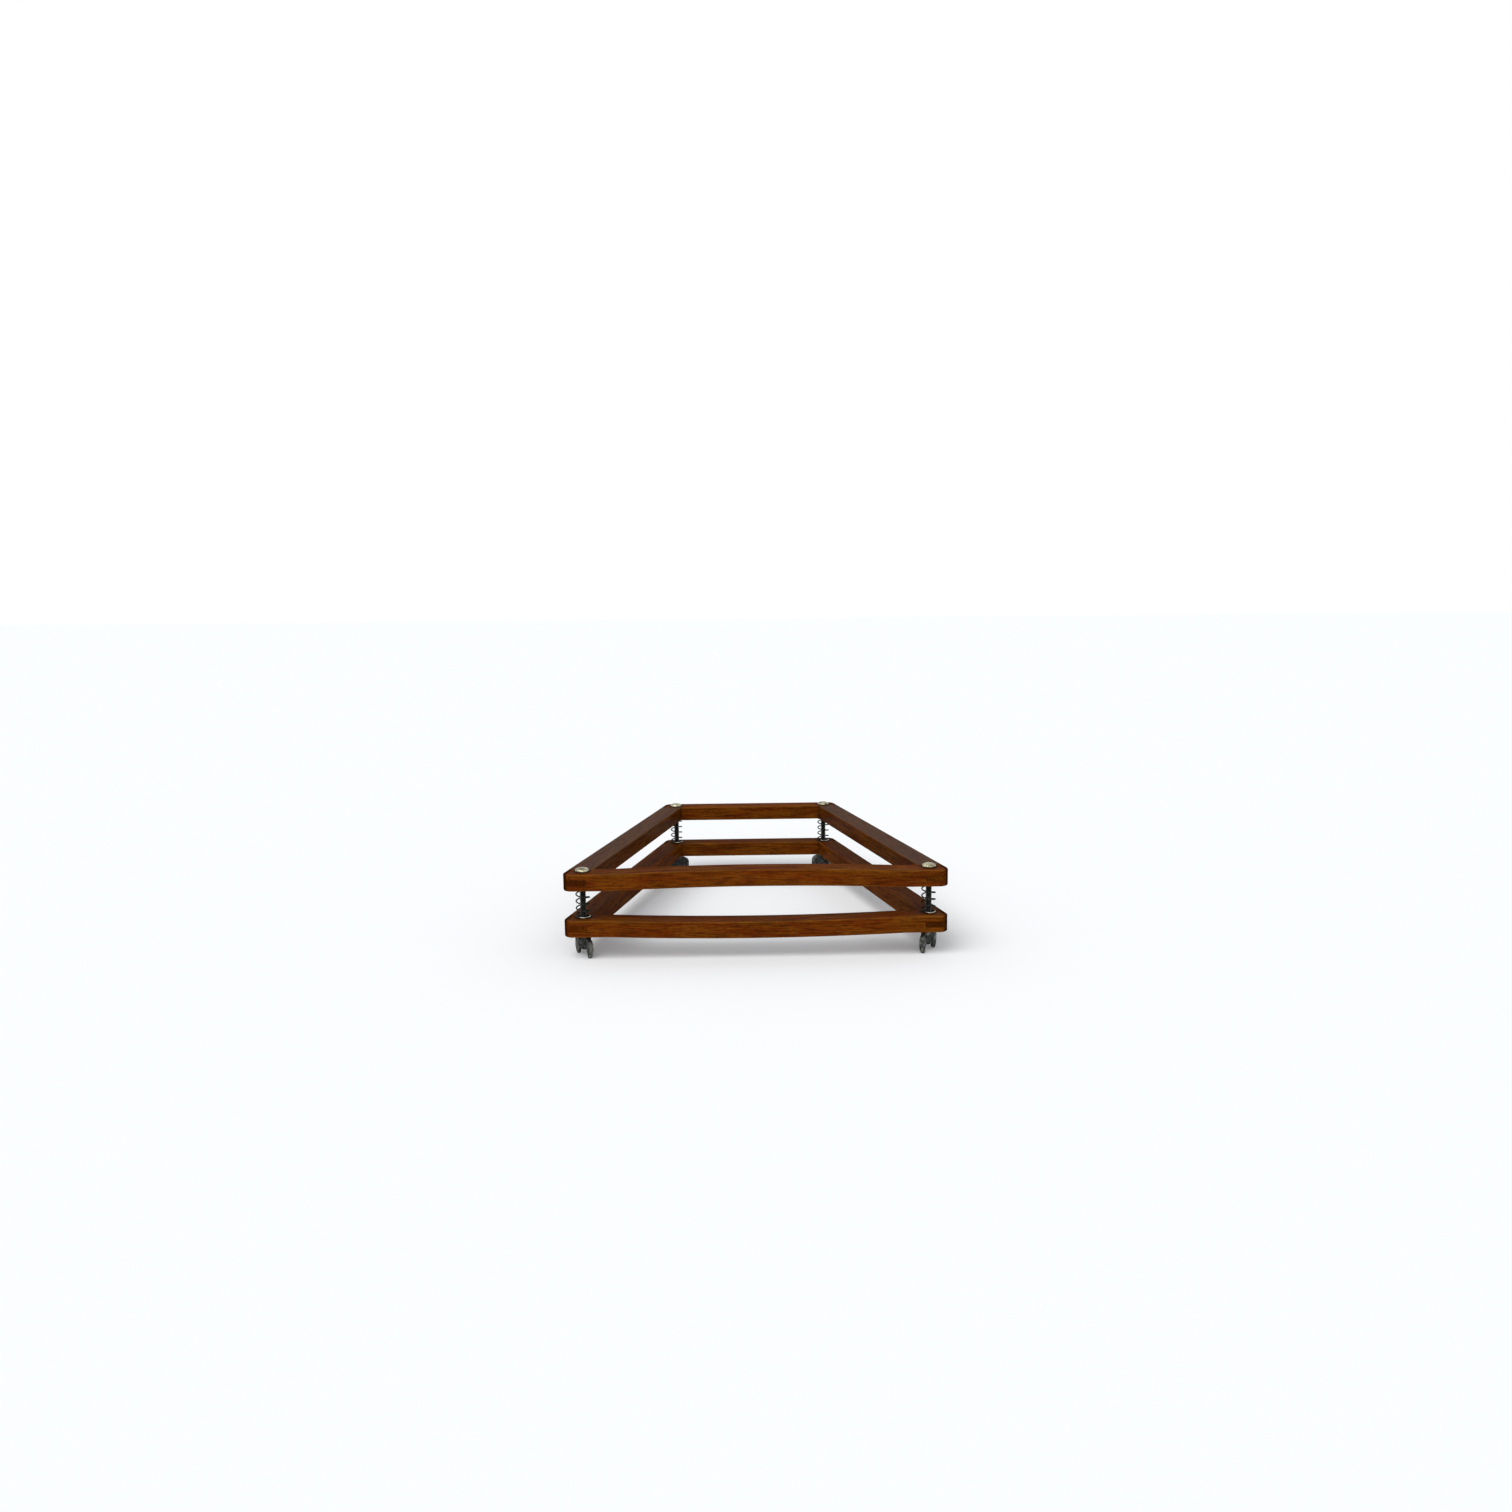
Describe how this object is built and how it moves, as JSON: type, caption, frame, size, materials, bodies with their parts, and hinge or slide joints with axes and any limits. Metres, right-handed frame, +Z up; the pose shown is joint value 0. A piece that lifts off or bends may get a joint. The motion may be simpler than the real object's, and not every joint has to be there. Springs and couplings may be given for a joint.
{
  "type": "wooden racket press",
  "caption": "Trapezoid wooden racket press: two bridle-jointed frames on corner bolts, sprung apart and drawn together by wing nuts.",
  "frame": {"origin": "on the surface that the press stands on, midway between the sides and midway between the front and rear faces", "axes": "+X to the right along the wide front rails, +Y from the wide front to the narrow rear, +Z up, from the wing nuts to the bolt heads"},
  "size_m": [0.2864, 0.284, 0.0679],
  "materials": {
    "varnished_wood": "reddish-brown varnished hardwood, worn along the arrises",
    "plated_steel": "dull plated steel, yellowed and tarnished",
    "spring_steel": "dark spring wire with bright rubbed turns",
    "cast_iron": "mottled dark grey rough casting"
  },
  "bodies": {
    "lower_frame": {"lower_front_rail": "varnished_wood", "lower_rear_rail": "varnished_wood", "lower_left_rail": "varnished_wood", "lower_right_rail": "varnished_wood", "washer_front_left": "plated_steel", "washer_front_right": "plated_steel", "washer_rear_left": "plated_steel", "washer_rear_right": "plated_steel", "spring_front_left": "spring_steel", "spring_front_right": "spring_steel", "spring_rear_left": "spring_steel", "spring_rear_right": "spring_steel"},
    "upper_frame": {"upper_front_rail": "varnished_wood", "upper_rear_rail": "varnished_wood", "upper_left_rail": "varnished_wood", "upper_right_rail": "varnished_wood", "bolt_front_left": "plated_steel", "bolt_front_right": "plated_steel", "bolt_rear_left": "plated_steel", "bolt_rear_right": "plated_steel"},
    "front_left_nut": {"wing_nut_front_left": "cast_iron"},
    "front_right_nut": {"wing_nut_front_right": "cast_iron"},
    "rear_left_nut": {"wing_nut_rear_left": "cast_iron"},
    "rear_right_nut": {"wing_nut_rear_right": "cast_iron"}
  },
  "joints": [
    {"name": "front_left_nut_turn", "type": "hinge", "parent": "lower_frame", "child": "front_left_nut", "pos_m": [-0.12976, -0.13, 0.008], "axis": [0, 0, 1], "range_deg": [0, 5102.4]},
    {"name": "front_right_nut_turn", "type": "hinge", "parent": "lower_frame", "child": "front_right_nut", "pos_m": [0.12976, -0.13, 0.008], "axis": [0, 0, 1], "range_deg": [0, 5102.4]},
    {"name": "rear_left_nut_turn", "type": "hinge", "parent": "lower_frame", "child": "rear_left_nut", "pos_m": [-0.07049, 0.13, 0.008], "axis": [0, 0, 1], "range_deg": [0, 5102.4]},
    {"name": "rear_right_nut_turn", "type": "hinge", "parent": "lower_frame", "child": "rear_right_nut", "pos_m": [0.07049, 0.13, 0.008], "axis": [0, 0, 1], "range_deg": [0, 5102.4]},
    {"name": "clamp", "type": "slide", "parent": "lower_frame", "child": "upper_frame", "axis": [0, 0, -1], "range_m": [0, 0.015], "stiffness_N_per_m": 9900, "springref_m": -0.003, "deforming": ["spring_front_left", "spring_front_right", "spring_rear_left", "spring_rear_right"]}
  ],
  "couplings": [
    {"joint": "front_left_nut_turn", "follows": "clamp", "rad_per_m": 5936.9},
    {"joint": "front_right_nut_turn", "follows": "clamp", "rad_per_m": 5936.9},
    {"joint": "rear_left_nut_turn", "follows": "clamp", "rad_per_m": 5936.9},
    {"joint": "rear_right_nut_turn", "follows": "clamp", "rad_per_m": 5936.9}
  ]
}
